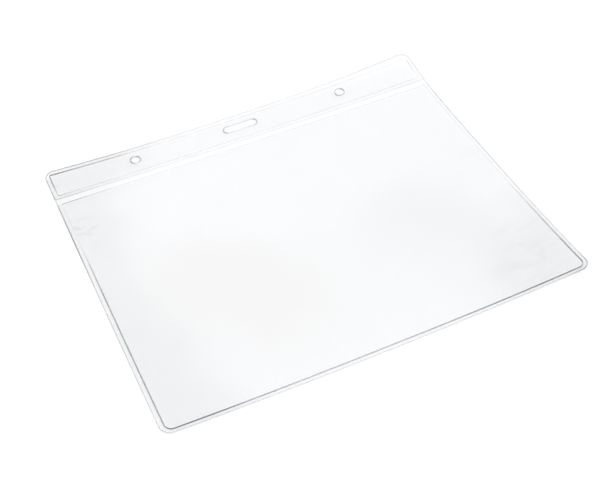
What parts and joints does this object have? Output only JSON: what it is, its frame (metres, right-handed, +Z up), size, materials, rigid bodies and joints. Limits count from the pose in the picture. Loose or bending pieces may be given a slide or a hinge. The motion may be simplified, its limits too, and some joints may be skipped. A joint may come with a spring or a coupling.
{
  "type": "badge holder",
  "caption": "Flat clear soft-vinyl badge holder: a landscape card pocket open along its top edge, under a welded header strip with two round holes and a slot.",
  "frame": {"origin": "middle of the outline, on the underside of the back film, where it lies on a table", "axes": "+Z up through the films, +Y towards the header strip, +X to the right along the long side"},
  "size_m": [0.156, 0.132, 0.0008],
  "materials": {
    "clear_film": "clear, glossy, faintly blue soft vinyl film",
    "welded_margin": "clear vinyl melted together and pressed, with a rounded bead"
  },
  "bodies": {
    "pocket": {"pocket_back": "clear_film", "pocket_weld": "welded_margin"},
    "header": {"header_back": "clear_film", "header_film": "clear_film", "header_weld": "welded_margin"},
    "window": {"pocket_film": "clear_film"}
  },
  "joints": [
    {"name": "header_flex", "type": "hinge", "parent": "pocket", "child": "header", "pos_m": [0, 0.0485, 0.00015], "axis": [1, 0, 0], "range_deg": [-90, 90], "stiffness_Nm_per_rad": 0.0035},
    {"name": "mouth_open", "type": "hinge", "parent": "pocket", "child": "window", "pos_m": [0, -0.0639, 0.0004], "axis": [1, 0, 0], "range_deg": [0, 4], "stiffness_Nm_per_rad": 0.1}
  ]
}
